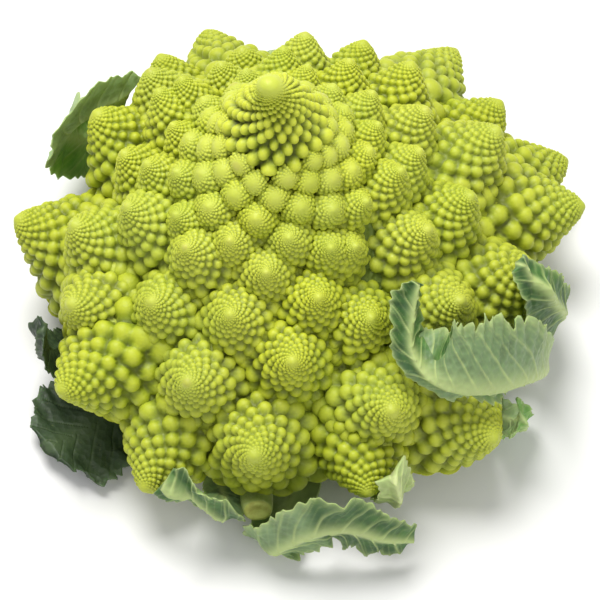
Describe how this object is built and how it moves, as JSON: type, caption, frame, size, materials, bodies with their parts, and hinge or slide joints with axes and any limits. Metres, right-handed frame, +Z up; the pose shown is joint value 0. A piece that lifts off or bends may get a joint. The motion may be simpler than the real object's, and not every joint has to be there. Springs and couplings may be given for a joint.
{
  "type": "romanesco head",
  "caption": "Romanesco head: a cone of spiralling conical florets on a cut stalk, wrapped round its foot by trimmed ruffled leaves; rests on the flat cut face.",
  "frame": {"origin": "centre of the flat cut face under the stalk", "axes": "+Z up the stalk to the head's apex, -Y towards the front, where the trimmed petiole stub is"},
  "size_m": [0.1812, 0.189, 0.1317],
  "materials": {
    "curd": "matt, finely budded",
    "stalk": "matt, fibrous",
    "petiole": "smooth, waxy",
    "leaf": "waxy bloom, veined"
  },
  "bodies": {
    "root": {"curd": "curd", "stalk": "stalk", "petiole_stub": "petiole", "leaf_front": "leaf", "leaf_front_left": "leaf", "leaf_right": "leaf", "leaf_right_rear": "leaf", "leaf_right_low": "leaf", "leaf_small": "leaf", "leaf_left_low": "leaf", "leaf_left": "leaf", "leaf_back_left": "leaf", "leaf_back": "leaf", "leaf_back_right": "leaf"}
  },
  "joints": []
}
